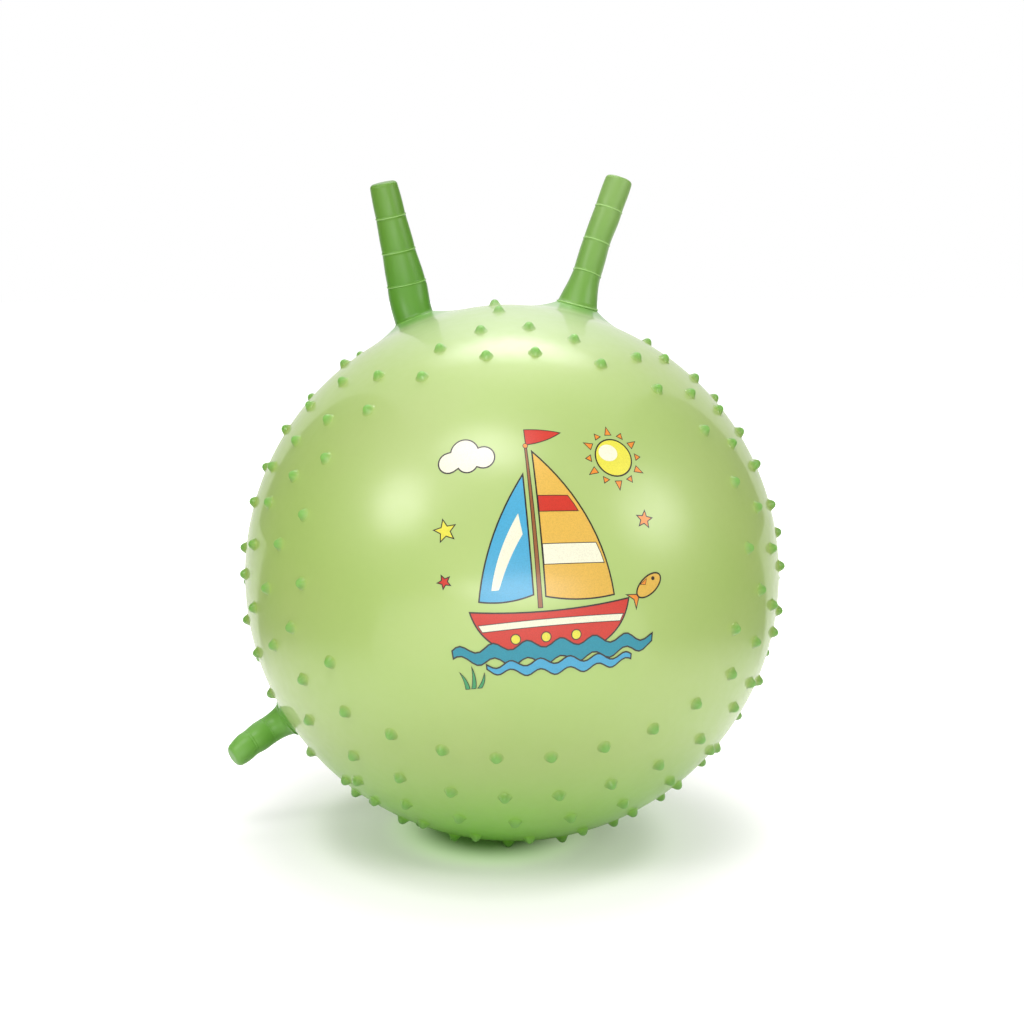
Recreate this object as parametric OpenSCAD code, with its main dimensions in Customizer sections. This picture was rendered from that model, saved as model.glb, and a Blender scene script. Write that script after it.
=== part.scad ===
// Hopper ball: an inflated skin with raised nubs, two long horns to hold and one short tail horn.
// The ball's own frame has its centre at the origin, the bare front facing -Y and the top at +Z.
// Standing on the floor it leans back a little and rolls to one side, as a ball does.

/* [Ball] */
// Outside diameter of the inflated skin
ball_d = 450; // [360:10:600]
// Thickness of the skin
skin_wall = 0.9; // [0.6:0.1:2]
// How far the ball has sunk on to the floor under its own weight
floor_sag = 3; // [2:0.5:5]

/* [Stance] */
// Angle that the front is tipped up by
lean_back = 15.7; // [5:0.1:25]
// Angle that the top is rolled to the left by
roll_left = 3.7; // [0:0.1:8]

/* [Nubs] */
// Diameter of a nub where it leaves the skin
nub_base_d = 10.4; // [8:0.2:13]
// Height of a nub above the skin
nub_h = 5.6; // [4:0.1:9]
// Diameter of a nub at the shoulder of its tip
nub_tip_d = 4.6; // [3:0.2:6]

/* [Top horns] */
// Length of a top horn from its root seam to its tip
horn_length = 115; // [90:1:140]
// Diameter of a top horn at its root seam
horn_root_d = 35; // [30:1:42]
// Diameter of a top horn at the end of its root piece
horn_neck_d = 29; // [24:1:34]
// Diameter of a top horn at its tip
horn_tip_d = 23; // [18:1:28]
// Height of the root seam above the round of the ball
horn_rise = 11.5; // [8:0.5:16]

/* [Tail horn] */
// Length of the tail horn from its root seam to its tip
tail_length = 59; // [45:1:75]
// Diameter of the tail horn at its root seam
tail_root_d = 29; // [24:1:34]
// Diameter of the tail horn at the end of its root piece
tail_neck_d = 24; // [20:1:28]
// Diameter of the tail horn at its tip
tail_tip_d = 21; // [16:1:24]
// Height of the tail's root seam above the round of the ball
tail_rise = 6; // [4:0.5:10]

/* [Horn moulding] */
// Thickness of the horns' walls
horn_wall = 2; // [1.5:0.1:3]
// Height of the fine rings round the horns
bead_h = 0.8; // [0.4:0.1:1.2]
// Width of the fine rings round the horns
bead_w = 2.2; // [1.6:0.2:3.2]
// Radius of the sweep from the ball up to a top horn
shoulder_r = 90; // [60:5:120]
// Radius of the sweep from the ball up to the tail horn
tail_shoulder_r = 60; // [40:5:80]

/* [Valve] */
// Diameter of the valve's bore
valve_bore_d = 8; // [6:0.5:10]
// Diameter of the plug's head
plug_head_d = 14; // [12:0.5:16]
// Thickness of the plug's head
plug_head_h = 1.6; // [1.2:0.1:2.2]
// Depth of the valve's sleeve inside the ball
valve_depth = 17; // [13:1:22]
// Thickness of the sleeve's wall round the plug's head
valve_wall = 2; // [1.4:0.1:3]
// Diameter of the valve's flange on the skin
valve_flange_d = 26; // [23:1:30]
// Thickness of the valve's flange
valve_flange_h = 2.6; // [2.2:0.1:3.4]

/* [Hidden] */
$fn = 96;
skin_green = [0.74, 0.84, 0.5];
nub_green = [0.55, 0.76, 0.36];
horn_green = [0.42, 0.66, 0.25];
valve_white = [0.93, 0.94, 0.9];
// Overrun that lets one cut or one fused piece pass through the next
over = 1;
// Gap that keeps two fitted pieces free of each other
slip = 0.05;
// Gap under a flat face that is laid on the round of the ball
seat_gap = 0.02;
ball_r = ball_d / 2;
centre_z = ball_r - floor_sag;
nub_base_r = nub_base_d / 2;
nub_tip_r = nub_tip_d / 2;
// Heights on a nub, as shares of its height, and the flat of its tip as a share of the tip's radius
nub_tip_share = 0.86;
nub_flat_share = 0.5;

// Nubs on the upper part and the sides: angle round from the top, then angle back from the front.
// The same pattern lies left and right, and again on the back. A third value marks the two that
// the left side lacks, beside the tail.
side_line = [
    [7, 44.5], [26, 45.5], [43, 48], [59.5, 50.5], [75, 51.5], [92.5, 51.5], [114, 50.5],
    [6, 55], [17.5, 52], [34, 55], [50, 57.5], [65.5, 59], [82, 59], [102, 58], [114, 61.5],
    [40, 65], [57, 65.5], [72, 67], [91.5, 65], [104, 67.5], [122, 69.5],
    [48, 71.5], [63.5, 73], [81, 73], [94.5, 74.5], [109, 75.5, 1],
    [35, 80.5], [54, 80.5], [71, 81], [86.5, 81.5], [103.5, 81.5], [119.5, 80, 1], [136.5, 81]];
// Nubs on the middle line between the top horns
top_line = [[0, 66], [0, 75]];
// Nubs round the edge between front and back, by their angle round from the top, left and right
edge_line = [30, 44, 62, 80, 95.5, 112, 127];
// Rows of nubs below: angle down from the front, how much the row's ends drop at a spread of
// row_spread, middle of the row, step and number
row_spread = 42;
low_rows = [
    [44.5, -4, 1, 10.7, 9], [56.5, 0, 2.8, 10.8, 9],
    [67, 3.5, 0, 11.35, 8], [79.5, 0, -1, 11.2, 7]];
// The row that runs under the ball, midway between front and back: middle, step and number
under_row = [0, 11.5, 8];

// Directions in the ball's frame. Spread is to the right of the top, reach is towards the front.
function aim(spread, reach) = [cos(reach) * sin(spread), -sin(reach), cos(reach) * cos(spread)];
function round_dir(a) = [sin(a[1]) * sin(a[0]), -cos(a[1]), sin(a[1]) * cos(a[0])];
function low_dir(side, down) = [sin(side), -cos(side) * cos(down), -cos(side) * sin(down)];
function to_back(d) = [d[0], -d[1], d[2]];
function low_row(r) = [for (i = [0 : r[4] - 1]) let (side = r[2] + (i - (r[4] - 1) / 2) * r[3])
    low_dir(side, r[0] + r[1] * pow(side / row_spread, 2))];
side_dirs = concat(
    [for (n = side_line, s = len(n) > 2 ? [1] : [-1, 1]) round_dir([s * n[0], n[1]])],
    [for (n = top_line) round_dir(n)]);
low_dirs = [for (r = low_rows) each low_row(r)];
edge_dirs = concat(
    [for (a = edge_line, s = [-1, 1]) aim(s * a, 0)],
    [for (i = [0 : under_row[2] - 1])
        low_dir(under_row[0] + (i - (under_row[2] - 1) / 2) * under_row[1], 90)]);

// A horn's stance: spread and reach of its root, the angle it bends by and the heading of the bend
left_stance = [-16.1, 0, 21, -72];
right_stance = [18.7, 0, 8.5, -63];
tail_stance = [-117.5, -14, 32, -93];
// A horn's form: length, root, neck and tip radius, rise, shoulder radius and number of fingers
top_form = [horn_length, horn_root_d / 2, horn_neck_d / 2, horn_tip_d / 2, horn_rise, shoulder_r, 4];
tail_form = [tail_length, tail_root_d / 2, tail_neck_d / 2, tail_tip_d / 2, tail_rise, tail_shoulder_r, 3];
// Height of a horn's flared foot and radius of its tip's edge, as shares of the radius there
foot_share = 0.42;
tip_round_share = 0.5;
function seam_z(f) = ball_r + f[4];
function finger(f) = f[0] / f[6];
function foot_h(f) = foot_share * f[1];

// Centre of the sweep from the ball to a horn's root: it touches the ball and ends at the seam
function sweep_centre(f) = let (a = ball_r + f[5], p = norm([f[1], seam_z(f)]),
    g = atan2(f[1], seam_z(f)) + acos((a * a + p * p - f[5] * f[5]) / (2 * a * p))) [a * sin(g), a * cos(g)];
// Angle from a horn's axis that its sweep takes up on the ball
function sweep_reach(f) = atan2(sweep_centre(f)[0], sweep_centre(f)[1]);
function angle_between(a, b) = acos(max(-1, min(1, a * b)));
nub_reach = asin(nub_base_r / ball_r);
patch_reach = acos(centre_z / ball_r);
down_dir = [-sin(roll_left) * cos(lean_back), sin(lean_back), -cos(roll_left) * cos(lean_back)];
function clear_of(d, stance, form) =
    angle_between(d, aim(stance[0], stance[1])) > sweep_reach(form) + nub_reach;
// Nubs near the floor are pressed flat by it, and under the patch itself they leave no trace
press_reach = acos(centre_z / (ball_r + nub_h)) + nub_reach;
function off_floor(dirs) = [for (d = dirs)
    if (clear_of(d, left_stance, top_form) && clear_of(d, right_stance, top_form)
        && clear_of(d, tail_stance, tail_form) && angle_between(d, down_dir) >= press_reach) d];
function on_floor(dirs) = [for (d = dirs) let (a = angle_between(d, down_dir))
    if (a < press_reach && a > patch_reach + nub_reach) d];

// Valve, measured outwards along the ball's back from its centre
valve_hole_r = plug_head_d / 2 + valve_wall;
sleeve_r = valve_hole_r - slip;
flange_z = sqrt(ball_r * ball_r - valve_hole_r * valve_hole_r) + seat_gap;
valve_top = flange_z + valve_flange_h;
// Reach of the plug's stem as a share of the valve's depth
stem_share = 0.8;

// Stands the ball on the floor: the origin is the middle of the patch that it rests on
module stand() {
    translate([0, 0, centre_z]) rotate([-lean_back, 0, 0]) rotate([0, -roll_left, 0]) children();
}

// All that lies above the level z = 0
module half_space() {
    translate([-ball_d, -ball_d, 0]) cube([ball_d * 2, ball_d * 2, ball_d * 2]);
}

// Turns +Z to a direction given in the ball's frame
module point_along(d) {
    rotate([0, acos(d[2]), atan2(d[1], d[0])]) children();
}

// Frame of a horn at its root seam: +Z leaves the ball and the horn bends towards +X
module at_horn(stance) {
    rotate([0, stance[0], 0]) rotate([stance[1], 0, 0]) rotate([0, 0, stance[3]]) children();
}

// Carries a straight stretch to the far end of a horn's bend
module past_bend(stance, form) {
    arc = finger(form) - foot_h(form);
    bend_r = arc / (stance[2] * PI / 180);
    translate([bend_r, 0, seam_z(form) + foot_h(form)]) rotate([0, stance[2], 0])
        translate([-bend_r, 0, 0]) children();
}

// Nubs on the ball, each a blunt cone whose foot is laid on the skin
module nubs(dirs) {
    for (d = dirs) point_along(d) translate([0, 0, ball_r + seat_gap]) rotate_extrude()
        polygon([[0, 0], [nub_base_r, 0], [nub_tip_r, nub_h * nub_tip_share],
            [nub_tip_r * nub_flat_share, nub_h], [0, nub_h]]);
}

module front_side_nubs() { color(nub_green) stand() nubs(off_floor(side_dirs)); }
module front_low_nubs() { color(nub_green) stand() nubs(off_floor(low_dirs)); }
module back_side_nubs() { color(nub_green) stand() nubs(off_floor([for (d = side_dirs) to_back(d)])); }
module back_low_nubs() { color(nub_green) stand() nubs(off_floor([for (d = low_dirs) to_back(d)])); }
module edge_nubs() { color(nub_green) stand() nubs(off_floor(edge_dirs)); }

module foot_nubs() {
    color(nub_green) intersection() {
        stand() nubs(on_floor(concat(low_dirs, [for (d = low_dirs) to_back(d)], edge_dirs)));
        half_space();
    }
}

// The ball swept up to one horn's seam, with its surface moved in by a wall
module shoulder(form, wall) {
    c = sweep_centre(form);
    rotate_extrude() difference() {
        polygon([[0, 0], c, [form[1], seam_z(form)], [0, seam_z(form)]]);
        translate(c) circle(r = form[5] + wall, $fn = 360);
    }
}

// Everything inside a wall of the skin
module ball_space(wall) {
    sphere(r = ball_r - wall);
    at_horn(left_stance) shoulder(top_form, wall);
    at_horn(right_stance) shoulder(top_form, wall);
    at_horn(tail_stance) shoulder(tail_form, wall);
}

// Hole from the ball into a hollow horn
module root_hole(stance, form) {
    at_horn(stance) translate([0, 0, seam_z(form) - form[4]])
        cylinder(h = form[4] + over, r = form[1] - horn_wall);
}

module ball_skin() {
    color(skin_green) intersection() {
        stand() difference() {
            ball_space(0);
            intersection() {
                ball_space(skin_wall);
                // Inside, the skin lies flat over the patch that the ball rests on
                rotate([0, roll_left, 0]) rotate([lean_back, 0, 0]) translate([0, 0, skin_wall - centre_z])
                    half_space();
            }
            root_hole(left_stance, top_form);
            root_hole(right_stance, top_form);
            root_hole(tail_stance, tail_form);
            rotate([-90, 0, 0]) cylinder(h = ball_r + over, r = valve_hole_r);
        }
        half_space();
    }
}

// Root piece of a horn: a foot that narrows from the seam, then a bent tube up to the first ring
module horn_root(stance, form) {
    foot = foot_h(form);
    bend_r = (finger(form) - foot) / (stance[2] * PI / 180);
    color(horn_green) stand() at_horn(stance) {
        translate([0, 0, seam_z(form)]) rotate_extrude()
            polygon([[form[2] - horn_wall, 0], [form[1], 0], [form[1], bead_h], [form[2], foot],
                [form[2] - horn_wall, foot]]);
        translate([bend_r, 0, seam_z(form) + foot]) rotate([90, 0, 0]) mirror([1, 0, 0])
            rotate_extrude(angle = stance[2]) translate([bend_r, 0]) difference() {
                circle(r = form[2]);
                circle(r = form[2] - horn_wall);
            }
    }
}

// Free piece of a horn: a hollow tapering finger with fine rings and a closed tip
module horn_grip(stance, form) {
    reach = form[0] - finger(form);
    tip_round = form[3] * tip_round_share;
    taper = (form[2] - form[3]) / reach;
    color(horn_green) stand() at_horn(stance) past_bend(stance, form)
        translate([0, 0, seat_gap]) rotate_extrude() difference() {
            union() {
                polygon([[0, 0], [form[2], 0], [form[3], reach - tip_round], [form[3] - tip_round, reach],
                    [0, reach]]);
                translate([form[3] - tip_round, reach - tip_round]) circle(r = tip_round);
                for (i = [0 : form[6] - 2])
                    translate([form[2] - taper * i * finger(form) - bead_h, i * finger(form)])
                        polygon([[0, 0], [bead_h + bead_h, 0], [bead_h + bead_h, bead_w / 2], [bead_h, bead_w],
                            [0, bead_w]]);
            }
            polygon([[-over, -over], [form[2] - horn_wall, -over],
                [form[3] - horn_wall, reach - tip_round], [form[3] - tip_round, reach - horn_wall],
                [-over, reach - horn_wall]]);
        }
}

module valve_seat() {
    color(valve_white) stand() rotate([-90, 0, 0]) difference() {
        union() {
            translate([0, 0, flange_z]) cylinder(h = valve_flange_h, d = valve_flange_d);
            translate([0, 0, valve_top - valve_depth]) cylinder(h = valve_depth, r = sleeve_r);
        }
        translate([0, 0, valve_top - valve_depth - over])
            cylinder(h = valve_depth + over * 2, d = valve_bore_d);
        translate([0, 0, valve_top - plug_head_h - slip]) cylinder(h = plug_head_h + over, d = plug_head_d);
    }
}

module valve_plug() {
    stem_r = valve_bore_d / 2 - slip;
    color(valve_white) stand() rotate([-90, 0, 0]) {
        translate([0, 0, valve_top - plug_head_h]) cylinder(h = plug_head_h, r = plug_head_d / 2 - slip);
        translate([0, 0, valve_top - valve_depth * stem_share])
            cylinder(h = valve_depth * stem_share, r = stem_r);
    }
}

module left_horn_root() { horn_root(left_stance, top_form); }
module left_horn_grip() { horn_grip(left_stance, top_form); }
module right_horn_root() { horn_root(right_stance, top_form); }
module right_horn_grip() { horn_grip(right_stance, top_form); }
module tail_horn_root() { horn_root(tail_stance, tail_form); }
module tail_horn_grip() { horn_grip(tail_stance, tail_form); }

ball_skin();
front_side_nubs();
front_low_nubs();
back_side_nubs();
back_low_nubs();
edge_nubs();
foot_nubs();
left_horn_root();
left_horn_grip();
right_horn_root();
right_horn_grip();
tail_horn_root();
tail_horn_grip();
valve_seat();
valve_plug();
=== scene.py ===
import math
import bpy
import bmesh
from mathutils import Matrix, Vector, noise


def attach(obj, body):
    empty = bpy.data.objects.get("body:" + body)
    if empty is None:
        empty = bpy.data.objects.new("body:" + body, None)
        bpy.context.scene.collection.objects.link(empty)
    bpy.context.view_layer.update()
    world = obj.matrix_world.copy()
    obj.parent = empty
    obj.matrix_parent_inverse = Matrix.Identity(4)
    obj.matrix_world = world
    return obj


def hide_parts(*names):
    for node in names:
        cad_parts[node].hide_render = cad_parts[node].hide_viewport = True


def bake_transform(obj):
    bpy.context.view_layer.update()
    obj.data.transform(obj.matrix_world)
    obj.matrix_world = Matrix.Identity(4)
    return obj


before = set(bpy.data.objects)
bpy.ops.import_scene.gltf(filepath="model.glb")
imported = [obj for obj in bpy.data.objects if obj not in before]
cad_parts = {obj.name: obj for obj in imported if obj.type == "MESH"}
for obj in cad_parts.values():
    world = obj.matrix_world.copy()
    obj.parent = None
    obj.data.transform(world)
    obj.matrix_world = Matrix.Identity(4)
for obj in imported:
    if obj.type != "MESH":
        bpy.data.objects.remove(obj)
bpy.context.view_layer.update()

MM = 0.001
BALL_R = 225 * MM
# the ball sags by 3 mm on its flat patch, leans back and is rolled a little to its left
CENTRE = Vector((0, 0, 222 * MM))
LEAN_BACK, ROLL_LEFT = math.radians(-15.7), math.radians(-3.7)
STAND = (Matrix.Translation(CENTRE) @ Matrix.Rotation(LEAN_BACK, 4, "X")
         @ Matrix.Rotation(ROLL_LEFT, 4, "Y"))


# ---------- the ball's own frame: the bare front faces -Y and the top +Z ----------

def aim(spread, reach):
    """A direction by its angle to the right of the top and its angle towards the front."""
    s, r = math.radians(spread), math.radians(reach)
    return Vector((math.cos(r) * math.sin(s), -math.sin(r), math.cos(r) * math.cos(s)))


def round_dir(around, back):
    """A direction by its angle round the front, from the top, and its angle back from the front."""
    a, b = math.radians(around), math.radians(back)
    return Vector((math.sin(b) * math.sin(a), -math.cos(b), math.sin(b) * math.cos(a)))


def low_dir(side, down):
    """A direction by its angle to the right of the front and its angle down from the front."""
    s, d = math.radians(side), math.radians(down)
    return Vector((math.sin(s), -math.cos(s) * math.cos(d), -math.cos(s) * math.sin(d)))


def between(a, b):
    """The angle between two directions."""
    return math.acos(max(-1, min(1, a.dot(b))))


def eased(t):
    """Eases a share from 0 to 1."""
    t = min(1.0, max(0.0, t))
    return t * t * (3 - 2 * t)


# The photograph's view: from a little to the left of the ball's front, and from above
AZ, EL = math.radians(4.65), math.radians(10.2)
TO_CAMERA = Vector((-math.sin(AZ) * math.cos(EL), -math.cos(AZ) * math.cos(EL), math.sin(EL)))
ACROSS = Vector((math.cos(AZ), -math.sin(AZ), 0))
UP = TO_CAMERA.cross(ACROSS).normalized()


class Horn:
    """Where a horn stands and how it is made, in the ball's own frame."""

    STRAIGHT_FOOT = 0.42    # the horn is straight this far up, as a share of its root's radius
    SLANT_END = 0.85        # the root seam's slant has gone this far up, as a share of a finger
    DEPTH_SHARE = 0.4       # how strongly a horn's depth answers to its width
    HIDDEN_SHARE = 0.6      # the skin ends level inside this share of the root's radius

    def __init__(self, name, spread, reach, bend, heading, length, radii, rise, sweep_r, fingers,
                 trumpet, shape, sway, ring, bulge, tip_round, dip=0.0):
        self.name = name
        self.root_r, self.neck_r, self.tip_r = (r * MM for r in radii)
        self.length, self.rise, self.sweep_r = length * MM, rise * MM, sweep_r * MM
        self.fingers = fingers
        self.finger = self.length / fingers
        self.foot = self.STRAIGHT_FOOT * self.root_r
        self.bend = math.radians(bend)
        self.seam = BALL_R + self.rise
        self.axis = aim(spread, reach)
        self.place = STAND @ (Matrix.Rotation(math.radians(spread), 4, "Y")
                              @ Matrix.Rotation(math.radians(reach), 4, "X")
                              @ Matrix.Rotation(math.radians(heading), 4, "Z"))
        self.own = STAND.inverted() @ self.place
        self.trumpet, self.shape, self.sway, self.dip = trumpet, shape, sway, dip * MM
        self.ring, self.bulge, self.tip_round = ring * MM, bulge * MM, tip_round * self.tip_r
        near = STAND.inverted().to_3x3() @ TO_CAMERA
        self.near = (near - self.axis * near.dot(self.axis)).normalized()
        # the skin sweeps up on a circle that touches the ball and passes through the seam
        self.far = BALL_R + self.sweep_r
        seam_far = math.hypot(self.root_r, self.seam)
        self.turn = math.atan2(self.root_r, self.seam) + math.acos(
            (self.far * self.far + seam_far * seam_far - self.sweep_r ** 2)
            / (2 * self.far * seam_far))

    def centre_at(self, s):
        """Middle of the horn at a distance s from its root seam, and how far it has bent there."""
        radius = (self.finger - self.foot) / self.bend
        if s <= self.foot:
            return Vector((0, 0, self.seam + s)), 0.0
        turn = (min(s, self.finger) - self.foot) / radius
        c = Vector((radius * (1 - math.cos(turn)), 0,
                    self.seam + self.foot + radius * math.sin(turn)))
        onward = Vector((math.sin(turn), 0, math.cos(turn)))
        return c + onward * max(0, s - self.finger), turn

    def along(self, table, s):
        """Reads a table that holds one value for the root, each ring and the tip."""
        steps = len(table) - 1
        t = max(0.0, min(steps - 1e-6, s / self.length * steps))
        k, part = int(t), eased(t - int(t))
        return table[k] * (1 - part) + table[k + 1] * part

    def on_horn(self, across, side, s):
        """A place beside the horn's middle, at a distance s from its root seam."""
        # the root seam lies aslant, lower on the side that the photograph shows
        to_near = (self.own.to_3x3() @ Vector((across, side, 0))).dot(self.near) / self.root_r
        s -= self.dip * to_near * max(0.0, 1 - max(0.0, s) / (self.SLANT_END * self.finger))
        c, turn = self.centre_at(s)
        at = self.place @ (c + Matrix.Rotation(turn, 3, "Y") @ Vector((across, side, 0)))
        right_by, up_by = (self.along(stray, s) for stray in self.sway)
        return at + (ACROSS * right_by + UP * up_by) * MM

    def flatten(self, x, y, s):
        """A horn is moulded a little oval: wider or narrower across than from front to back."""
        wide = self.along(self.shape, s)
        w = (self.place.to_3x3().inverted() @ ACROSS).to_2d().normalized()
        a, b = x * w.x + y * w.y, -x * w.y + y * w.x
        a, b = a * wide, b / wide ** self.DEPTH_SHARE
        return a * w.x - b * w.y, a * w.y + b * w.x

    def girth(self, s):
        """The horn's round radius at a distance s from its root seam."""
        opening = max(0.0, 1 - max(0.0, s) / self.finger) ** self.trumpet
        taper = (self.neck_r - self.tip_r) / (self.length - self.finger)
        return (self.neck_r + (self.root_r - self.neck_r) * opening
                - taper * max(0, s - self.finger))

    def rise_at(self, angle):
        """Height of the skin over the horn's sweep, at an angle from the horn's axis."""
        if angle >= self.turn:
            return 0.0
        low = math.atan2(self.root_r * self.HIDDEN_SHARE, self.seam)
        g = self.turn - max(angle, low)
        inside = self.sweep_r ** 2 - (self.far * math.sin(g)) ** 2
        return self.far * math.cos(g) - math.sqrt(max(0, inside)) - BALL_R

    def skin_rise(self, u):
        """Height of the skin over the horn's sweep in a direction u."""
        across = u - self.axis * u.dot(self.axis)
        to_near = across.dot(self.near) / max(across.length, self.root_r / self.seam)
        return self.rise_at(between(u, self.axis)) * (1 - self.dip / self.rise * to_near)


TOP = dict(length=115, radii=(17.5, 14.5, 11.5), fingers=4, ring=0.6, bulge=0.25, tip_round=0.3)
TAIL = dict(length=59, radii=(16.3, 12, 10.5), rise=6, sweep_r=60, fingers=3,
            ring=0.3, bulge=0.7, tip_round=0.5)
# shape: how wide a horn is across the front at its root, rings and tip, as shares of its girth.
# sway: how far its middle strays to the right and upwards there, in millimetres.
# trumpet: how sharply its root piece opens towards the skin.
# dip: how much lower its root seam lies on the side that the photograph shows, in millimetres.
left = Horn("left", -16.1, 0, 21, -72, rise=8.5, sweep_r=180, trumpet=0.8, dip=2.4,
            shape=(0.98, 1.14, 1.06, 1.02, 1.03),
            sway=((0.3, 1.8, 1.3, 0.8, 0.5), (-0.2, 3.9, 3.8, 4.9, 5.4)), **TOP)
right = Horn("right", 18.7, 0, 8.5, -63, rise=13.5, sweep_r=150, trumpet=1.7, dip=4.2,
             shape=(1.0, 0.85, 0.87, 0.95, 1.03),
             sway=((0.0, 1.0, 0.3, 1.9, 2.5), (0.8, 1.8, 1.6, 2.6, 2.3)), **TOP)
tail = Horn("tail", -117.5, -14, 32, -93, trumpet=2.6, shape=(1.0, 1.0, 1.0, 1.0),
            sway=((0.9, -1.3, 0.5, 1.0), (-0.4, -1.7, -1.2, -3.4)), **TAIL)
HORNS = [left, right, tail]


# ---------- shader maths ----------

class Value:
    """A socket that can be used in arithmetic."""

    def __init__(self, kit, socket):
        self.kit, self.socket = kit, socket

    def _math(self, operation, other=None):
        values = {0: self} if other is None else {0: self, 1: other}
        return self.kit.node("ShaderNodeMath", {"operation": operation}, values)

    def __add__(self, o): return self._math("ADD", o)
    def __sub__(self, o): return self._math("SUBTRACT", o)
    def __mul__(self, o): return self._math("MULTIPLY", o)
    def size(self): return self._math("ABSOLUTE")
    def most(self, o): return self._math("MAXIMUM", o)

    def __rsub__(self, o):
        return self.kit.node("ShaderNodeMath", {"operation": "SUBTRACT"}, {0: o, 1: self})

    def ramp(self, low, high, out_low=0.0, out_high=1.0):
        return self.kit.node("ShaderNodeMapRange", {"interpolation_type": "SMOOTHSTEP"},
                             {"Value": self, "From Min": low, "From Max": high,
                              "To Min": out_low, "To Max": out_high})


class Kit:
    """One way to add any node to a tree."""

    def __init__(self, tree):
        self.tree = tree

    def node(self, kind, settings=None, values=None, out=0):
        n = self.tree.nodes.new(kind)
        for key, value in (settings or {}).items():
            setattr(n, key, value)
        for key, value in (values or {}).items():
            if isinstance(value, Value):
                self.tree.links.new(value.socket, n.inputs[key])
            else:
                n.inputs[key].default_value = value
        return Value(self, n.outputs[out])

    def vector(self, operation, *values, out=0):
        return self.node("ShaderNodeVectorMath", {"operation": operation},
                         dict(enumerate(values)), out=out)

    def facing(self, way, direction):
        """How far a direction agrees with another, from -1 to 1."""
        return self.vector("DOT_PRODUCT", way, tuple(direction), out="Value")

    def length(self, vector):
        return self.vector("LENGTH", vector, out="Value")

    def mix(self, factor, a, b):
        return self.node("ShaderNodeMix", {"data_type": "RGBA"}, {0: factor, 6: a, 7: b}, out=2)


class Finish(Kit):
    """A material with its Principled shader."""

    def __init__(self, name, **constants):
        self.material = bpy.data.materials.new(name)
        self.material.use_nodes = True
        super().__init__(self.material.node_tree)
        self.shader = next(n for n in self.tree.nodes if n.type == "BSDF_PRINCIPLED")
        for key, value in constants.items():
            self.shader.inputs[key.replace("_", " ")].default_value = value
        self.spot = self.node("ShaderNodeTexCoord", out="Object")

    def height(self):
        """Height above the round of the ball, in millimetres."""
        from_centre = self.vector("DISTANCE", self.spot, tuple(CENTRE), out="Value")
        return (from_centre - BALL_R) * (1 / MM)

    def outward(self):
        """The direction from the middle of the ball."""
        return self.vector("NORMALIZE", self.vector("SUBTRACT", self.spot, tuple(CENTRE)))

    def noise(self, scale, detail=2.0):
        return self.node("ShaderNodeTexNoise", None,
                         {"Vector": self.spot, "Scale": scale, "Detail": detail})

    def bump(self, height, distance, strength):
        return self.node("ShaderNodeBump", None,
                         {"Strength": strength, "Distance": distance, "Height": height})

    def feed(self, **links):
        for key, value in links.items():
            self.tree.links.new(value.socket, self.shader.inputs[key.replace("_", " ")])
        return self


def srgb(r, g, b):
    def linear(c):
        c /= 255
        return c / 12.92 if c <= 0.04045 else ((c + 0.055) / 1.055) ** 2.4
    return (linear(r), linear(g), linear(b), 1.0)


# ---------- finishes ----------

HORN_SHADE_REACH = math.radians(9.5)    # how far round a horn's root the skin is painted deeper green, as painted shade and painted reflection of the horn


def skin_colour_and_painted_light(f):
    """Green with painted light: fresher low down as painted light through the vinyl near the floor,
    milky on top as a painted sheen from the lights above, faintly clouded, and deeper by the horns
    as their painted shade and reflection.
    """
    z = f.node("ShaderNodeSeparateXYZ", None, {0: f.spot}, out="Z")
    # painted light and painted sheen: the green is fresher towards the bottom and milky towards the
    # top
    green = f.mix(z.ramp(0.01, 0.12), srgb(136, 210, 54), srgb(168, 196, 101))
    green = f.mix(z.ramp(0.26, 0.4), green, srgb(167, 192, 108))
    green = f.mix(z.ramp(0.4, 0.448), green, srgb(178, 204, 142))
    green = f.mix(f.noise(9.0, 3.0).ramp(0.35, 0.65, 0.0, 0.3), green, srgb(156, 194, 84))
    out = f.outward()
    # painted shade and painted reflection: the skin round each horn's root is painted deeper green,
    # where the horn shades it and shows in its gloss
    for horn in HORNS:
        root = math.atan2(horn.root_r, horn.seam)
        facing = f.facing(out, STAND.to_3x3() @ horn.axis)
        painted_horn_shade = facing.ramp(math.cos(root + HORN_SHADE_REACH), math.cos(root), 0.0, 0.95)
        green = f.mix(painted_horn_shade, green, srgb(112, 176, 66))
    return green


def pearl_vinyl():
    """A broad milky sheen under a thin clear gloss."""
    f = Finish("pearl_vinyl", Metallic=0.06, IOR=1.95,
               Coat_Weight=0.5, Coat_Roughness=0.07, Coat_IOR=1.5)
    f.feed(Base_Color=skin_colour_and_painted_light(f),
           Roughness=f.noise(140.0).ramp(0.3, 0.7, 0.46, 0.52))
    return f.material


def nub_vinyl():
    """A deeper green that fades into the skin round each nub, lit softly as thick vinyl is."""
    f = Finish("nub_vinyl", IOR=1.5, Coat_Weight=0.5, Coat_Roughness=0.09, Coat_IOR=1.5,
               Subsurface_Weight=0.3, Subsurface_Radius=(1, 1, 1), Subsurface_Scale=0.003)
    out = f.node("ShaderNodeVectorMath", {"operation": "SCALE"}, {0: f.outward(), "Scale": 1.8})
    own = f.node("ShaderNodeNewGeometry", out="Normal")
    depth = f.node("ShaderNodeAttribute", {"attribute_name": "depth"}, out="Fac")
    f.feed(Base_Color=f.mix(depth, skin_colour_and_painted_light(f), srgb(126, 186, 80)),
           Roughness=f.noise(300.0).ramp(0.3, 0.7, 0.38, 0.48),
           Normal=f.vector("NORMALIZE", f.vector("ADD", own, out)))
    return f.material


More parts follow.
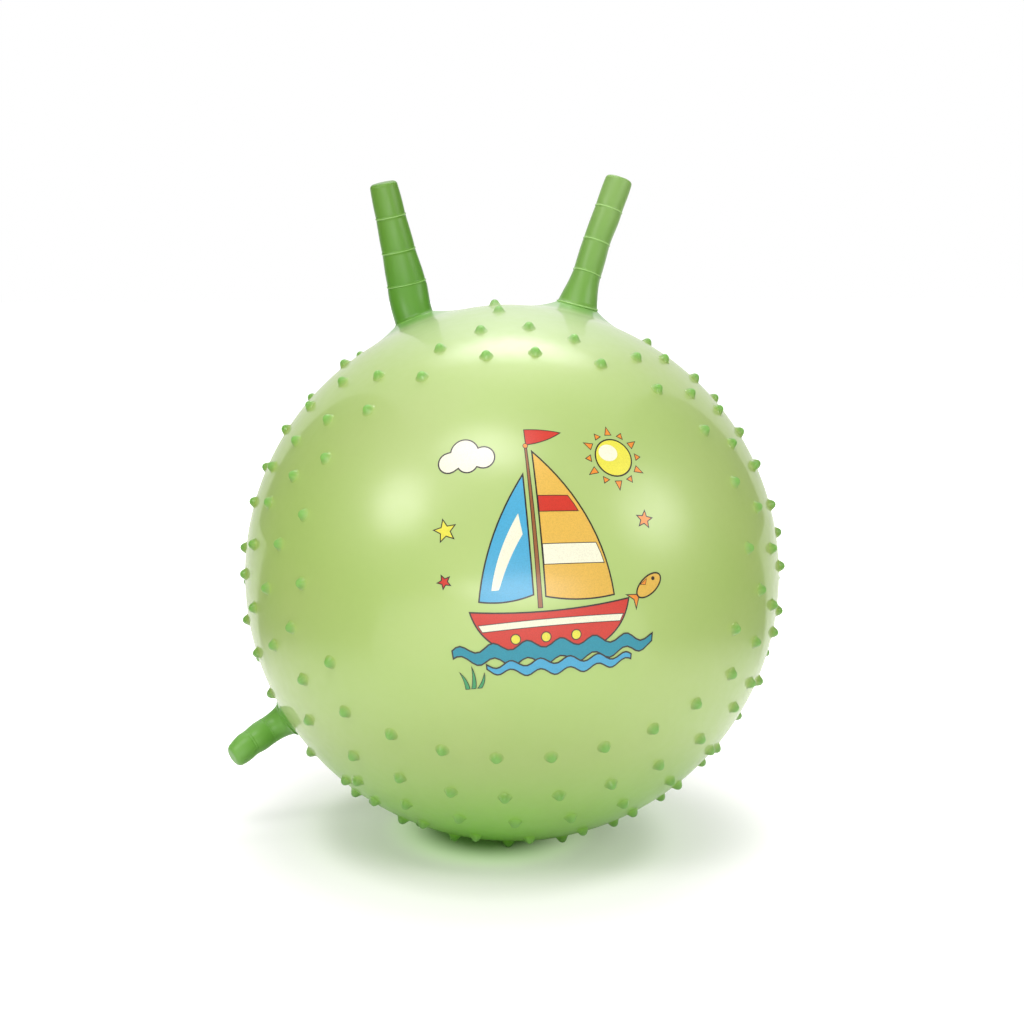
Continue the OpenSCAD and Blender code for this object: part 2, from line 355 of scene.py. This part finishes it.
def horn_vinyl(name, low_green, high_green):
    """Green vinyl that is deeper at the thick root of a horn and paler towards its tip."""
    f = Finish(name, Metallic=0.0, IOR=1.5, Coat_Weight=0.2, Coat_Roughness=0.3)
    green = f.mix(f.height().ramp(10.0, 125.0), low_green, high_green)
    f.feed(Base_Color=f.mix(f.noise(38.0, 3.0).ramp(0.35, 0.7, 0.0, 0.25), green, high_green),
           Roughness=f.noise(90.0, 3.0).ramp(0.3, 0.7, 0.4, 0.52),
           Normal=f.bump(f.noise(420.0, 3.0), 0.0001, 0.3))
    return f.material


def soft_plastic():
    f = Finish("valve_plastic", Roughness=0.42, Subsurface_Weight=0.0)
    whites = srgb(236, 238, 226), srgb(228, 231, 216)
    f.feed(Base_Color=f.mix(f.noise(160.0).ramp(0.3, 0.7), *whites),
           Normal=f.bump(f.noise(1600.0), 0.00003, 0.3))
    return f.material


def ink(name, colour):
    """A printed colour, with fine darker specks."""
    f = Finish(name, Metallic=0.0, IOR=1.5, Coat_Weight=0.35, Coat_Roughness=0.14)
    darker = tuple(c * 0.88 for c in colour[:3]) + (1.0,)
    f.feed(Base_Color=f.mix(f.noise(1100.0).ramp(0.35, 0.7), colour, darker),
           Roughness=f.noise(300.0).ramp(0.3, 0.7, 0.32, 0.42))
    return f.material


pearl = pearl_vinyl()
nub_green = nub_vinyl()
HORN_GREENS = {"left": (srgb(84, 145, 34), srgb(98, 148, 46)),
               "right": (srgb(107, 160, 60), srgb(128, 169, 84)),
               "tail": (srgb(102, 164, 56), srgb(122, 178, 80))}
# painted highlight: paler greens for the rings and the root's welt of the top horns; the tail's
# rings keep its horn greens
RING_HIGHLIGHT_GREENS = {"left": (srgb(122, 178, 78), srgb(142, 188, 100)),
               "right": (srgb(150, 200, 108), srgb(162, 206, 120)),
               "tail": (srgb(102, 164, 56), srgb(122, 178, 80))}
horn_vinyls = {name: horn_vinyl(name + "_horn_vinyl", *HORN_GREENS[name]) for name in HORN_GREENS}
ring_highlight_vinyls = {name: horn_vinyl(name + "_ring_highlight_vinyl", *RING_HIGHLIGHT_GREENS[name]) for name in RING_HIGHLIGHT_GREENS}
valve_white = soft_plastic()


# ---------- meshes ----------

WELD = 1e-7    # points closer than this are one


def finish_mesh(name, bm, material, body):
    bmesh.ops.remove_doubles(bm, verts=bm.verts, dist=WELD)
    bmesh.ops.recalc_face_normals(bm, faces=bm.faces)
    mesh = bpy.data.meshes.new(name)
    bm.to_mesh(mesh)
    bm.free()
    mesh.polygons.foreach_set("use_smooth", [True] * len(mesh.polygons))
    obj = bpy.data.objects.new(name, mesh)
    bpy.context.scene.collection.objects.link(obj)
    mesh.materials.append(material)
    if body:
        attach(obj, body)
    return obj


def spun(profile, steps):
    """A profile of (radius, height) points turned once round +Z."""
    bm = bmesh.new()
    verts = [bm.verts.new((r, 0, z)) for r, z in profile]
    edges = [bm.edges.new(pair) for pair in zip(verts, verts[1:])]
    bmesh.ops.spin(bm, geom=verts + edges, cent=(0, 0, 0), axis=(0, 0, 1), angle=math.tau,
                   steps=steps, use_merge=True)
    bmesh.ops.remove_doubles(bm, verts=bm.verts, dist=WELD)
    # spin leaves the faces in another order each run, so they are sorted by their points
    bm.verts.index_update()
    in_order = sorted(bm.faces, key=lambda face: [v.index for v in face.verts])
    place = {face: k for k, face in enumerate(in_order)}
    bm.faces.sort(key=place.get)
    return bm


# ---------- the skin ----------

# the skin is drawn up between the top horns, by this much and this far round
CROWN, CROWN_RISE, CROWN_REACH = aim(0.5, 3), 2.7 * MM, math.radians(17)
# the valve's seat covers the edge of a hole in the middle of the back
BACK, VALVE_HOLE_R = Vector((0, 1, 0)), 8 * MM
# the skin's faces are cut finer within these shares of a horn root's reach
FINE_REACHES = (1.9, 1.45)


def skin_height(u):
    """Height of the skin over the round of the ball: drawn up on top and round every horn."""
    drawn = CROWN_RISE * math.exp(-(between(u, CROWN) / CROWN_REACH) ** 2)
    return drawn + max(0.0, *(horn.skin_rise(u) for horn in HORNS))


def build_skin():
    bm = bmesh.new()
    bmesh.ops.create_icosphere(bm, subdivisions=7, radius=1.0)
    for horn in HORNS:
        for reach in FINE_REACHES:
            near = reach * math.atan2(horn.root_r, horn.seam)
            edges = [e for e in bm.edges
                     if all(between(v.co.normalized(), horn.axis) < near for v in e.verts)]
            bmesh.ops.subdivide_edges(bm, edges=edges, cuts=1, use_grid_fill=True)
    hole = [f for f in bm.faces
            if between(f.calc_center_median().normalized(), BACK) * BALL_R < VALVE_HOLE_R]
    bmesh.ops.delete(bm, geom=hole, context="FACES")
    for v in bm.verts:
        u = v.co.normalized()
        v.co = STAND @ (u * (BALL_R + skin_height(u)))
        if v.co.z < 0:
            v.co.z = 0
    bmesh.ops.triangulate(bm, faces=[f for f in bm.faces if len(f.verts) > 4])
    return bm


skin = finish_mesh("ball_skin_smooth", build_skin(), pearl, "ball")
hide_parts("ball_skin")


# ---------- the nubs ----------

# a third value marks a nub that the left side lacks, beside the tail
SIDE_LINE = [
    (7, 44.5), (26, 45.5), (43, 48), (59.5, 50.5), (75, 51.5), (92.5, 51.5), (114, 50.5),
    (6, 55), (17.5, 52), (34, 55), (50, 57.5), (65.5, 59), (82, 59), (102, 58), (114, 61.5),
    (40, 65), (57, 65.5), (72, 67), (91.5, 65), (104, 67.5), (122, 69.5),
    (48, 71.5), (63.5, 73), (81, 73), (94.5, 74.5), (109, 75.5, 1),
    (35, 80.5), (54, 80.5), (71, 81), (86.5, 81.5), (103.5, 81.5), (119.5, 80, 1), (136.5, 81)]
TOP_LINE = [(0, 66), (0, 75)]
EDGE_LINE = [30, 44, 62, 80, 95.5, 112, 127]
# angle down from the front, how much a row's ends drop at ROW_SPREAD, middle, step and number
ROW_SPREAD = 42
LOW_ROWS = [(44.5, -4, 1, 10.7, 9), (56.5, 0, 2.8, 10.8, 9),
            (67, 3.5, 0, 11.35, 8), (79.5, 0, -2, 11.2, 7)]
# the row under the ball, midway between front and back: middle, step and number
UNDER_ROW = (0, 11.5, 8)
NUB_H, NUB_R = 5.6 * MM, 5.5 * MM


def row_sides(middle, step, count):
    return [middle + (i - (count - 1) / 2) * step for i in range(count)]


side = [round_dir(s * n[0], n[1]) for n in SIDE_LINE for s in ((1,) if len(n) > 2 else (-1, 1))]
side += [round_dir(a, b) for a, b in TOP_LINE]
low = [low_dir(across, down + drop * (across / ROW_SPREAD) ** 2)
       for down, drop, *row in LOW_ROWS for across in row_sides(*row)]
edge = [aim(s * a, 0) for a in EDGE_LINE for s in (-1, 1)]
edge += [low_dir(across, 90) for across in row_sides(*UNDER_ROW)]


def to_back(dirs):
    return [Vector((d.x, -d.y, d.z)) for d in dirs]


# no nub stands closer than this to the middle of the flat patch, or of a horn
DOWN = (STAND.inverted().to_3x3() @ Vector((0, 0, -1))).normalized()
PATCH_REACH = math.acos(CENTRE.z / BALL_R) + math.asin(NUB_R / BALL_R)
HORN_REACH = math.radians(12)


def kept(dirs):
    return [d for d in dirs if between(d, DOWN) > PATCH_REACH
            and all(between(d, h.axis) > HORN_REACH for h in HORNS)]


# radius and height in millimetres, from the tip to the foot, which is sunk into the skin
NUB_PROFILE = [(0, 5.3), (1.0, 5.15), (1.9, 4.75), (2.7, 4.1), (3.35, 3.3), (3.9, 2.4),
               (4.4, 1.5), (4.9, 0.75), (5.5, 0.2), (6.3, -0.3)]
NUB_STEPS = 20
NUB_FADE = 3.8            # width over which a nub's own green fades in from its foot, in mm
NUB_STRAY = 0.35          # how far a nub's tip strays to a side, in mm
NUB_SCATTER = 37.0        # spreads the nubs over the noise, so that each strays in its own way
NUB_SEED = 7
FLOOR_CLEAR = 0.2 * MM    # nubs are pressed flat this far above the floor
noise.seed_set(NUB_SEED)


def build_nubs(dirs):
    whole = bmesh.new()
    foot = NUB_PROFILE[-1][0]
    for d in dirs:
        one = spun([(r * MM, z * MM) for r, z in NUB_PROFILE], NUB_STEPS)
        turn = d.to_track_quat("Z", "Y").to_matrix().to_4x4()
        stray = noise.noise_vector(d * NUB_SCATTER) * NUB_STRAY
        depth = one.verts.layers.float.new("depth")
        for v in one.verts:
            share = max(0.0, v.co.z / NUB_H)
            v[depth] = eased((foot - math.hypot(v.co.x, v.co.y) / MM) / NUB_FADE)
            v.co.x += stray.x * MM * share
            v.co.y += stray.y * MM * share
            # the foot follows the round of the ball
            v.co.z += math.sqrt(BALL_R ** 2 - v.co.x ** 2 - v.co.y ** 2) + skin_height(d)
            v.co = STAND @ (turn @ v.co)
            if v.co.z < FLOOR_CLEAR:
                v.co.z = FLOOR_CLEAR
        mesh = bpy.data.meshes.new("one_nub")
        one.to_mesh(mesh)
        one.free()
        whole.from_mesh(mesh)
        bpy.data.meshes.remove(mesh)
    return whole


for name, dirs in (("front_side", side), ("front_low", low), ("back_side", to_back(side)),
                   ("back_low", to_back(low)), ("edge", edge)):
    nubs = finish_mesh(name + "_soft_nubs", build_nubs(kept(dirs)), nub_green, "ball")
    if name == "edge":
        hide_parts("edge_nubs", "foot_nubs")
    else:
        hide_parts(name + "_nubs")


# ---------- the horns ----------

# a fine welt where the horn leaves the skin: distance out and along, in millimetres
WELT = ((-0.5, -1.8), (0.2, -1.1), (0.1, -0.4), (0.9, -0.1), (1.15, 0.5), (0.9, 1.1), (-0.1, 1.5))
WELT_MIDDLE, WELT_END = 0.7 * MM, 1.7 * MM
# a ring on a horn: distance along, in millimetres, and share of its height
RIDGE = ((-0.9, 0), (-0.5, 0.7), (0, 1.0), (0.5, 0.7), (0.9, 0))
HALF_RING = 0.5 * MM
UNDER_RING = 0.15 * MM    # the root's last row lies this far under the end's first row
PIECE_ROWS, TIP_ROWS, HORN_STEPS = 12, 8, 48
TIP_START = 0.5           # the last rows stop this far below the tip, as a share of its radius
BEND_END = 1.9            # a place on the horn's middle is found this far along, counted in fingers from the seam


def root_profile(horn):
    pts = [(horn.root_r + dr * MM, s * MM) for dr, s in WELT]
    for k in range(1, PIECE_ROWS + 1):
        s = WELT_END + (horn.finger - WELT_END) * k / PIECE_ROWS
        pts.append((horn.girth(s) - UNDER_RING * (k == PIECE_ROWS), s))
    return pts


def grip_profile(horn):
    pts = []
    for i in range(1, horn.fingers):
        start = i * horn.finger
        for ds, lift in RIDGE:
            s = start + ds * MM
            pts.append((horn.girth(s) + horn.ring * lift, s))
        last = i == horn.fingers - 1
        end = horn.length - horn.tip_r * TIP_START if last else start + horn.finger
        for k in range(1, PIECE_ROWS):
            s = start + (end - start) * k / PIECE_ROWS
            pts.append((horn.girth(s) + horn.bulge * math.sin(math.pi * k / PIECE_ROWS), s))
    tip = horn.tip_round
    for k in range(TIP_ROWS + 1):
        a = math.pi / 2 * k / TIP_ROWS
        pts.append((horn.tip_r - tip + tip * math.cos(a), horn.length - tip + tip * math.sin(a)))
    for share in (0.75, 0.5, 0.25, 0):
        pts.append(((horn.tip_r - tip) * share, horn.length))
    return pts


def build_horn(horn, profile, raised):
    bm = spun(profile, HORN_STEPS)
    # the faces on the fine rings and the root's welt are painted paler, as a painted highlight
    # along their ridges
    for face in bm.faces:
        s = face.calc_center_median().z
        if any(abs(s - r) < HALF_RING for r in raised):
            face.material_index = 1
    for v in bm.verts:
        x, y = horn.flatten(v.co.x, v.co.y, v.co.z)
        v.co = horn.on_horn(x, y, v.co.z)
    return bm


for horn in HORNS:
    seam = horn.on_horn(0, 0, 0)
    ring = horn.on_horn(0, 0, horn.finger)
    past = horn.on_horn(0, 0, horn.finger * BEND_END)
    vinyl, ring_highlight_vinyl = horn_vinyls[horn.name], ring_highlight_vinyls[horn.name]
    bm = build_horn(horn, root_profile(horn), [WELT_MIDDLE])
    root = finish_mesh(horn.name + "_root_smooth", bm, vinyl, None)
    root.data.materials.append(ring_highlight_vinyl)
    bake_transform(root)
    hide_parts(horn.name + "_horn_root")
    bm = build_horn(horn, grip_profile(horn), [i * horn.finger for i in range(1, horn.fingers)])
    grip = finish_mesh(horn.name + "_grip_smooth", bm, vinyl, None)
    grip.data.materials.append(ring_highlight_vinyl)
    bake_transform(grip)
    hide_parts(horn.name + "_horn_grip")

# ---------- the print: a sailing boat, laid flat in mm round the middle of the front ----------

INKS = {"line": srgb(38, 34, 30), "red": srgb(203, 52, 34), "gold": srgb(222, 180, 76),
        "yellow": srgb(226, 220, 70), "cream": srgb(236, 236, 208), "sky": srgb(72, 168, 206),
        "teal": srgb(28, 142, 162), "orange": srgb(232, 142, 48), "green": srgb(62, 156, 96),
        "brown": srgb(150, 92, 48)}
ink_faces = {name: bmesh.new() for name in INKS}
PRINT_AT = (9, -2)
PRINT_LIFT, LAYER = 0.08 * MM, 0.05 * MM
PRINT_WELD = 1e-4    # in mm, as the print's other lengths
LONGEST_EDGE = 6     # longer edges are cut, so that the print follows the round of the ball
MOST_CUTS = 5


def on_front(u, v, layer):
    """A point of the print on the ball, a hair above the skin."""
    a, b = (u + PRINT_AT[0]) * MM / BALL_R, (v + PRINT_AT[1]) * MM / BALL_R
    d = Vector((math.sin(a) * math.cos(b), -math.cos(a) * math.cos(b), math.sin(b)))
    return STAND @ (d * (BALL_R + PRINT_LIFT + layer * LAYER))


def print_shape(points, fill, layer=0, line=1.2):
    """Prints one closed shape, with a thin line just inside its edge."""
    flat = bmesh.new()
    face = flat.faces.new([flat.verts.new((u, v, 0)) for u, v in points])
    flat.normal_update()
    if face.normal.z < 0:
        bmesh.ops.reverse_faces(flat, faces=[face])
    rim = []
    if line:
        rim = bmesh.ops.inset_region(flat, faces=[face], thickness=line, use_even_offset=True,
                                     use_boundary=True)["faces"]
    inner = [f for f in flat.faces if f not in set(rim)]
    for faces, ink_name in ((rim, "line"), (inner, fill)):
        if not faces:
            continue
        part = bmesh.new()
        for f in faces:
            part.faces.new([part.verts.new(v.co) for v in f.verts])
        bmesh.ops.remove_doubles(part, verts=part.verts, dist=PRINT_WELD)
        bmesh.ops.triangulate(part, faces=part.faces)
        for _ in range(MOST_CUTS):
            edges = [e for e in part.edges if e.calc_length() > LONGEST_EDGE]
            if not edges:
                break
            bmesh.ops.subdivide_edges(part, edges=edges, cuts=1)
            bmesh.ops.triangulate(part, faces=part.faces)
        for v in part.verts:
            v.co = on_front(v.co.x, v.co.y, layer)
        mesh = bpy.data.meshes.new("print_part")
        part.to_mesh(mesh)
        part.free()
        ink_faces[ink_name].from_mesh(mesh)
        bpy.data.meshes.remove(mesh)
    flat.free()


def ring_points(u, v, ru, rv=None, count=40):
    """Points round an oval."""
    angles = [math.radians(360 * k / count) for k in range(count)]
    return [(u + ru * math.cos(a), v + (rv or ru) * math.sin(a)) for a in angles]


def arc_to(a, b, bulge, count=14):
    """Points from a up to b on a bow that stands out to its right by bulge, without b itself."""
    (ax, ay), (bx, by) = a, b
    dx, dy = bx - ax, by - ay
    size = math.hypot(dx, dy)
    nx, ny = dy / size, -dx / size
    bows = [(t, bulge * 4 * t * (1 - t)) for t in (k / count for k in range(count))]
    return [(ax + dx * t + nx * bow, ay + dy * t + ny * bow) for t, bow in bows]


def joined(*stretches):
    return [p for stretch in stretches for p in stretch]


def cloud_points(u, v, puffs, count=72):
    """The outline of round puffs, seen from (u, v), which lies inside them all."""
    pts = []
    for k in range(count):
        a = math.tau * k / count
        dx, dy = math.cos(a), math.sin(a)
        best = 0
        for pu, pv, r in puffs:
            along, off = pu * dx + pv * dy, pu * dy - pv * dx
            if abs(off) < r:
                best = max(best, along + math.sqrt(r * r - off * off))
        pts.append((u + dx * best, v + dy * best))
    return pts


def wave_points(u0, u1, top, depth, swell, step, shift=0.0, count=44):
    """A strip of sea: waves on top, and an underside that is thinner at its ends."""
    shares = [k / count for k in range(count + 1)]
    up = [(u0 + (u1 - u0) * t, top + swell * math.sin(math.tau * (t * (u1 - u0) / step + shift)))
          for t in shares]
    under = [(u, v - depth * math.sin(math.pi * (0.08 + 0.84 * t)) ** 0.5)
             for t, (u, v) in zip(shares, up)]
    return up + under[::-1]


def print_star(u, v, r, fill, turn=0):
    pts = []
    for k in range(10):
        a = math.radians(90 + turn + 36 * k)
        q = r if k % 2 == 0 else r * 0.45
        pts.append((u + q * math.cos(a), v + q * math.sin(a)))
    print_shape(pts, fill, 0, 0.8)


def print_boat():
    mast_foot, mast_top = -46, 80
    # sails: the big one to the right of the mast, the small one to its left
    print_shape(joined(arc_to((-5, -38), (50, -40), 3), arc_to((50, -40), (-5, 76), 10),
                       [(-5, 76)]), "gold", 1)
    for low_v, high_v, colour in ((-14, 2, "cream"), (26, 39, "red")):
        def edge_u(v):
            t = (v + 40) / 116
            return 50 + (-5 - 50) * t + 10 * 4 * t * (1 - t) * 0.9
        mid_v = (low_v + high_v) / 2
        print_shape([(-4.2, low_v), (edge_u(low_v) - 1.2, low_v - 1.5),
                     (edge_u(mid_v) - 1.0, mid_v - 1.5), (edge_u(high_v) - 1.2, high_v - 1.5),
                     (-4.2, high_v)], colour, 2, 0.6)
    print_shape(joined(arc_to((-13, 58), (-56, -38), 6), arc_to((-56, -38), (-13, -36), 3),
                       [(-13, -36)]), "sky", 1)
    print_shape(joined(arc_to((-20, 26), (-45, -30), 3), arc_to((-45, -30), (-39, -30), 0.2),
                       reversed(arc_to((-18, 10), (-39, -30), 1.5))), "cream", 2, 0)
    # mast and pennant
    print_shape([(-11, mast_foot), (-7, mast_foot), (-7.8, mast_top), (-10.2, mast_top)],
                "brown", 2, 0.6)
    print_shape(joined(arc_to((-9, 94), (-9, 80), 0.01, 2), arc_to((-9, 80), (22, 89), 2),
                       arc_to((22, 89), (-9, 94), 1)), "red", 2, 0.7)
    print_shape(ring_points(-9, 79.5, 2.2), "orange", 3, 0.5)
    # hull, with a stripe and portholes
    print_shape(joined(arc_to((-64, -44), (-40, -76), 5), arc_to((-40, -76), (40, -76), 1),
                       arc_to((40, -76), (62, -42), 5), arc_to((62, -42), (-64, -44), -5)),
                "red", 3)
    print_shape(joined(arc_to((-58.5, -55), (57.5, -54), -0.5, 20),
                       arc_to((57.5, -54), (54.5, -60), 0.2, 3),
                       arc_to((54.5, -60), (-55.5, -61), 0.5, 20), [(-55.5, -61)]),
                "cream", 4, 0.6)
    for u in (-30, -6, 18):
        print_shape(ring_points(u, -68, 4.2), "yellow", 4, 0.8)
    # sea
    print_shape(wave_points(-82, 84, -72, 15, 3.2, 27), "teal", 5)
    print_shape(wave_points(-56, 66, -86, 10, 2.6, 24, 0.4), "sky", 6)


def print_sky():
    sun_u, sun_v, rays, ray_foot, ray_half = 62, 66, 12, 19, 3.3
    for k in range(rays):
        a = math.tau * k / rays
        c, q = math.cos(a), math.sin(a)
        tip = 27.5 if k % 2 else 24.5
        print_shape([(sun_u + ray_foot * c + ray_half * q, sun_v + ray_foot * q - ray_half * c),
                     (sun_u + tip * c, sun_v + tip * q),
                     (sun_u + ray_foot * c - ray_half * q, sun_v + ray_foot * q + ray_half * c)],
                    "orange", 0, 0.6)
    print_shape(ring_points(sun_u, sun_v, 16), "yellow", 1)
    print_shape(ring_points(58, 70, 8, 7), "cream", 2, 0)
    puffs = [(-15, -3, 9), (-2, 4, 12), (13, -1, 9.5), (0, -4, 9)]
    print_shape(cloud_points(-56, 74, puffs), "cream", 0)
    print_star(-76, 18, 10, "yellow", 8)
    print_star(79, 16, 8, "orange", -10)
    print_star(-80, -20, 6.5, "red", 20)


def print_fish():
    def at(points, u, v, turn):
        c, q = math.cos(math.radians(turn)), math.sin(math.radians(turn))
        return [(u + x * c - y * q, v + x * q + y * c) for x, y in points]
    spot = (79, -34, 38)
    print_shape(at([(-10, 0), (-20, 8), (-17, 0), (-20, -8)], *spot), "orange", 0, 0.7)
    print_shape(at(ring_points(0, 0, 13, 7.2), *spot), "gold", 1)
    print_shape(at(ring_points(6, 1.8, 1.5), *spot), "line", 2, 0)
    print_shape(at([(-2, 2), (2, 5.4), (-6, 5.6)], *spot), "orange", 2, 0.4)


def print_weed():
    ground = -104
    for u, lean, tall in ((-74, -5, 15), (-69, 1, 19), (-64, 6, 13)):
        left_foot, right_foot, tip = (u - 2.2, ground), (u + 2.2, ground), (u + lean, ground + tall)
        print_shape(joined(arc_to(left_foot, right_foot, 0.1, 2), arc_to(right_foot, tip, 1.6, 8),
                           arc_to(tip, left_foot, -1.0, 8)), "green", 7, 0.5)


print_boat()
print_sky()
print_fish()
print_weed()
for name, bm in ink_faces.items():
    if bm.faces:
        finish_mesh("print_" + name, bm, ink("ink_" + name, INKS[name]), "ball")
    else:
        bm.free()


# ---------- the valve: a seat in the middle of the back, and the plug that closes it ----------

# radius and height over the valve's top plane, in millimetres
VALVE_TOP = 227.44
VALVE_STEPS = 64
SEAT_PROFILE = [(4.0, -17.0), (8.9, -17.0), (8.9, -2.75), (12.9, -2.95), (13.0, -2.2),
                (12.75, -0.9), (12.2, -0.35), (11.3, -0.1), (9.6, 0.0), (8.9, 0.12), (8.5, 0.4),
                (7.9, 0.45), (7.45, 0.2), (7.2, -0.3), (7.15, -1.65), (4.2, -1.65), (4.0, -1.9),
                (4.0, -17.0)]
PLUG_PROFILE = [(0.0, -13.6), (2.6, -13.5), (3.3, -13.0), (3.85, -12.2), (3.85, -1.8),
                (3.9, -1.6), (6.8, -1.6), (6.9, -1.3), (6.85, 0.2), (6.5, 0.55), (5.9, 0.65),
                (5.3, 0.45), (5.0, 0.1), (4.4, 0.05), (4.1, 0.35), (3.4, 0.7), (1.8, 0.9),
                (0.0, 0.95)]


def build_valve_part(profile):
    bm = spun([(r * MM, (VALVE_TOP + z) * MM) for r, z in profile], VALVE_STEPS)
    bm.transform(STAND @ Matrix.Rotation(math.radians(-90), 4, "X"))
    return bm


for node, body, profile in (("valve_seat", "ball", SEAT_PROFILE),
                            ("valve_plug", "plug", PLUG_PROFILE)):
    bm = build_valve_part(profile)
    piece = finish_mesh(node + "_smooth", bm, valve_white, body)
    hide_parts(node)


# ---------- floor, light and camera ----------

# Half width of the white sweep behind and over the ball, as a share of the view to the side
SWEEP = 0.56
FLOOR_SIZE = 9.0
BLACK, WHITE = (0, 0, 0, 1), (1, 1, 1, 1)
CONTACT_LIGHT_GREEN, CONTACT_SHADE_GREEN = (0.8, 1.0, 0.62, 1), (0.4, 0.66, 0.22, 1)    # painted green light and painted green shade under the ball, where light comes through its vinyl
FLOOR_GREY, DARK_GREY = (0.62, 0.62, 0.62, 1), (0.1, 0.1, 0.1, 1)
# scale and shift that make the round of length 1 an oval of floor, 0.3 m by 0.395 m: the oval of
# the painted shadow under the ball
OVAL_SCALE, OVAL_SHIFT = (1 / 0.3, 1 / 0.395, 0), (0.065, 0, 0)


def build_floor():
    bm = bmesh.new()
    bmesh.ops.create_grid(bm, x_segments=1, y_segments=1, size=FLOOR_SIZE)
    mesh = bpy.data.meshes.new("floor")
    bm.to_mesh(mesh)
    bm.free()
    floor = bpy.data.objects.new("floor", mesh)
    bpy.context.scene.collection.objects.link(floor)
    f = Finish("white_floor", Roughness=1.0, IOR=1.0, Emission_Strength=1.0)
    camera_ray = f.node("ShaderNodeLightPath", out="Is Camera Ray")
    glossy_ray = f.node("ShaderNodeLightPath", out="Is Glossy Ray")
    # seen by the camera, the floor glows towards white, wholly so away from the ball; less glow in
    # an oval round the ball paints the shadow's size and fall-off
    far = f.length(f.vector("MULTIPLY_ADD", f.spot, OVAL_SCALE, OVAL_SHIFT))
    lift = (far.ramp(0.12, 0.25, 0.0, 0.32) - far.ramp(0.25, 0.33, 0.0, 0.1)
            + far.ramp(0.4, 0.54, 0.0, 0.15) + far.ramp(0.58, 1.1, 0.0, 0.5))
    # painted green light: the floor's glow is green near the ball
    tint = f.mix(far.ramp(0.2, 0.7), CONTACT_LIGHT_GREEN, WHITE)
    # in the ball's gloss it is bright near the ball, in front of it and behind, dark to the sides
    away = f.facing(f.vector("NORMALIZE", f.spot), ACROSS).size()
    bright = f.length(f.spot).ramp(0.45, 0.8, 1.0, 0.0).most(
        away.ramp(SWEEP + 0.2, SWEEP + 0.26, 1.0, 0.0))
    seen = camera_ray.most(glossy_ray * bright * far.ramp(0.2, 0.5, 0.1, 0.85))
    # painted green shade: the floor's own grey is darker and green under the ball
    grey = f.mix(far.ramp(0.13, 0.32), CONTACT_SHADE_GREEN, FLOOR_GREY)
    f.feed(Base_Color=f.mix(glossy_ray * (1.0 - bright), grey, DARK_GREY),
           Emission_Color=f.mix(lift * seen, BLACK, tint))
    mesh.materials.append(f.material)


def build_world(plain, room):
    """White to the eye, plain for light; gloss sees a white sweep behind in a dimmer room."""
    world = bpy.data.worlds.new("studio")
    bpy.context.scene.world = world
    world.use_nodes = True
    world.cycles.sampling_method = "NONE"
    kit = Kit(world.node_tree)
    way = kit.node("ShaderNodeTexCoord", out="Generated")
    sweep = (kit.facing(way, ACROSS).size().ramp(SWEEP, SWEEP + 0.03, 1.0, 0.0)
             * kit.facing(way, TO_CAMERA).ramp(-0.1, 0.4, 1.0, 0.0))
    glossy = kit.node("ShaderNodeLightPath", out="Is Glossy Ray")
    seen = kit.node("ShaderNodeLightPath", out="Is Camera Ray")
    strength = glossy * (sweep * (1.0 - room) + (room - plain)) + seen * (1.0 - plain) + plain
    back = next(n for n in kit.tree.nodes if n.type == "BACKGROUND")
    # what lights the ball has first passed through its own vinyl, so it is a little green
    colour = kit.mix(seen.most(glossy), (0.96, 1.0, 0.93, 1), WHITE)
    kit.tree.links.new(colour.socket, back.inputs["Color"])
    kit.tree.links.new(strength.socket, back.inputs["Strength"])


LAMP_COLOUR = (1.0, 0.94, 0.99)


def soft_light(name, right, up, near, distance, width, depth, power):
    """A flat light that faces the ball and fades out towards its edges, as a softbox does.

    Its place is seen from the middle of the ball: its shares to the right, upwards and towards
    the camera, and its distance.
    """
    way = (ACROSS * right + UP * up + TO_CAMERA * near).normalized()
    lamp = bpy.data.lights.new(name, "AREA")
    lamp.shape = "RECTANGLE"
    lamp.size, lamp.size_y, lamp.energy = width, depth, power
    lamp.color = LAMP_COLOUR
    lamp.use_nodes = True
    kit = Kit(lamp.node_tree)
    place = kit.node("ShaderNodeNewGeometry", out="Parametric")
    from_middle = kit.length(kit.vector("SUBTRACT", place, (0.5, 0.5, 0)))
    glow = next(n for n in kit.tree.nodes if n.type == "EMISSION")
    fade = from_middle.ramp(0.05, 0.5, 2.8, 0.0)
    kit.tree.links.new(fade.socket, glow.inputs["Strength"])
    obj = bpy.data.objects.new(name, lamp)
    bpy.context.scene.collection.objects.link(obj)
    obj.location = CENTRE + way * distance
    obj.rotation_euler = (CENTRE - obj.location).to_track_quat("-Z", "Y").to_euler()
    return obj


build_floor()
build_world(0.52, 0.07)
# right, up, near, distance, width, depth, power
soft_light("over_box", 0.02, 0.966, -0.24, 2.0, 1.9, 0.9, 13)
soft_light("left_box", -0.67, 0.42, 0.6, 2.2, 1.45, 1.35, 17)
soft_light("right_box", 0.82, 0.35, 0.45, 2.2, 1.8, 1.6, 17)
soft_light("front_box", 0.03, -0.12, 1.0, 3.2, 4.4, 1.0, 37)
soft_light("high_box", -0.15, 0.75, 0.6, 3.0, 2.6, 1.6, 36)

# fills the back, and leaves the edges that the camera sees as they are
back_box = soft_light("back_box", 0.0, 0.5, -1.0, 3.0, 3.0, 1.6, 24)
back_box.visible_glossy = False

PICTURE, FOCAL = 1024, 2119.2    # the picture's side and the camera's focal length, in pixels
CAMERA_FAR = 1.8
LOOK_DOWN = 8.55                 # degrees

lens = bpy.data.cameras.new("camera")
lens.sensor_width = 36
lens.lens = FOCAL / PICTURE * lens.sensor_width
camera = bpy.data.objects.new("camera", lens)
bpy.context.scene.collection.objects.link(camera)
bpy.context.scene.camera = camera
camera.location = CENTRE + CAMERA_FAR * TO_CAMERA
camera.rotation_euler = (math.radians(90 - LOOK_DOWN), 0, -AZ)

bpy.context.scene.view_settings.view_transform = "Standard"
